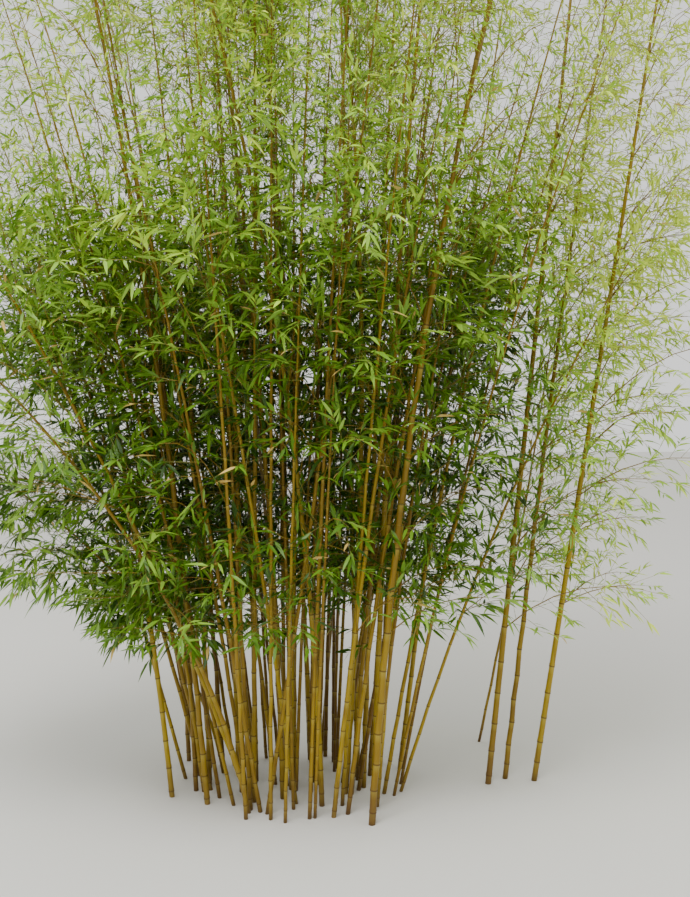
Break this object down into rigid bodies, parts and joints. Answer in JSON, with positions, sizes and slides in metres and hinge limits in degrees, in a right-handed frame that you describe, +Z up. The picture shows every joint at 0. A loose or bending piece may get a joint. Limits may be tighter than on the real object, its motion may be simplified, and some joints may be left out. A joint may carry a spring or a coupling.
{
  "type": "golden bamboo clump",
  "caption": "Tall clump of golden bamboo rooted in the ground: arching yellow culms with fine branches and narrow drooping green leaves.",
  "frame": {"origin": "centre of the flat cut at ground level under the main culm, near the middle of the clump's front half", "axes": "+Z up, +X to the right and +Y away from a viewer who faces the clump's front"},
  "size_m": [4.441, 3.1016, 5.5002],
  "materials": {
    "culms": "smooth waxy golden-yellow culm skin, semi-gloss, with darker rings at the joints",
    "foliage": "thin matt to satin green leaves on fine yellow-green twigs"
  },
  "bodies": {
    "root": {"culm_centre_1": "culms", "culm_centre_2": "culms", "culm_centre_3": "culms", "culm_centre_4": "culms", "culm_centre_5": "culms", "culm_centre_6": "culms", "culm_front_1": "culms", "culm_front_2": "culms", "culm_front_3": "culms", "culm_front_4": "culms", "culm_front_5": "culms", "culm_inner_1": "culms", "culm_inner_10": "culms", "culm_inner_11": "culms", "culm_inner_12": "culms", "culm_inner_13": "culms", "culm_inner_14": "culms", "culm_inner_15": "culms", "culm_inner_2": "culms", "culm_inner_3": "culms", "culm_inner_4": "culms", "culm_inner_5": "culms", "culm_inner_6": "culms", "culm_inner_7": "culms", "culm_inner_8": "culms", "culm_inner_9": "culms", "culm_left_1": "culms", "culm_left_2": "culms", "culm_left_3": "culms", "culm_left_4": "culms", "culm_left_5": "culms", "culm_left_6": "culms", "culm_left_7": "culms", "culm_right_1": "culms", "culm_right_2": "culms", "culm_right_3": "culms", "culm_right_4": "culms", "culm_right_5": "culms", "foliage_1": "foliage", "foliage_10": "foliage", "foliage_11": "foliage", "foliage_12": "foliage", "foliage_13": "foliage", "foliage_14": "foliage", "foliage_15": "foliage", "foliage_16": "foliage", "foliage_17": "foliage", "foliage_18": "foliage", "foliage_19": "foliage", "foliage_2": "foliage", "foliage_20": "foliage", "foliage_21": "foliage", "foliage_3": "foliage", "foliage_4": "foliage", "foliage_5": "foliage", "foliage_6": "foliage", "foliage_7": "foliage", "foliage_8": "foliage", "foliage_9": "foliage"}
  },
  "joints": []
}
